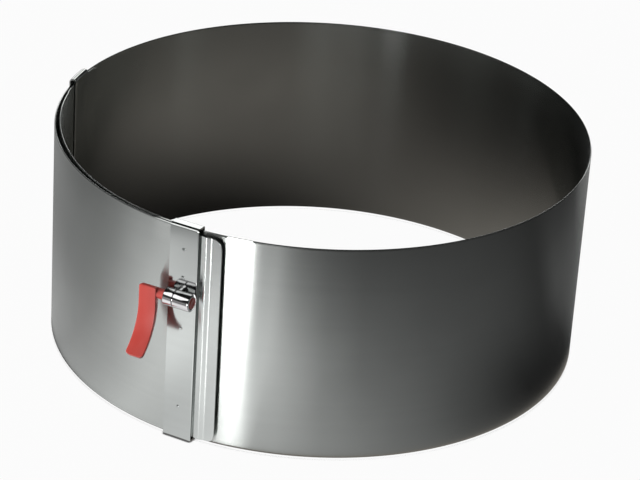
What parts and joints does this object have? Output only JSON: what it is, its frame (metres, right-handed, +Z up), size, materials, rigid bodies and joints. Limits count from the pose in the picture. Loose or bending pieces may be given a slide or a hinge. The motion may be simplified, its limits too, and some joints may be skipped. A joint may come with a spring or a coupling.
{
  "type": "adjustable cake ring",
  "caption": "Adjustable steel cake ring: an overlapping strip that a folded clamp plate with a red cam lever holds at the wanted diameter, kept together by a guide clip.",
  "frame": {"origin": "middle of the ring's depth, on the vertical plane through the clamp and the ring's axis, at the underside", "axes": "+Z up along the ring's axis, +Y from the clamp through the axis to the far side, +X to the right as seen from in front of the clamp"},
  "size_m": [0.2399, 0.258, 0.1034],
  "materials": {
    "band_steel": "fine lengthwise brushing",
    "plate_steel": "bright rolled, nearly mirror",
    "chrome": "polished",
    "axle_steel": "turned",
    "red_plastic": "moulded, satin gloss"
  },
  "bodies": {
    "ring": {"ring_band": "band_steel", "guide_clip": "band_steel"},
    "clamp": {"clamp_plate": "plate_steel", "grip_lip": "plate_steel", "bearing_block": "chrome"},
    "lever": {"lever_handle": "red_plastic", "cam_axle": "axle_steel", "end_cap": "red_plastic"},
    "pin": {"pressure_pin": "axle_steel"}
  },
  "joints": [
    {"name": "size_slide", "type": "hinge", "parent": "ring", "child": "clamp", "pos_m": [0, 0.00903, 0.0511], "axis": [0, 0, -1], "range_deg": [-60, 70], "deforming": ["ring_band"]},
    {"name": "lever_swing", "type": "hinge", "parent": "clamp", "child": "lever", "pos_m": [0, -0.11687, 0.0701], "axis": [-1, 0, 0], "range_deg": [0, 110]},
    {"name": "pin_slide", "type": "slide", "parent": "clamp", "child": "pin", "axis": [0, -1, 0], "range_m": [0, 0.0006]}
  ],
  "couplings": [
    {"joint": "pin_slide", "follows": "lever_swing", "m_per_rad": 0.000245}
  ]
}
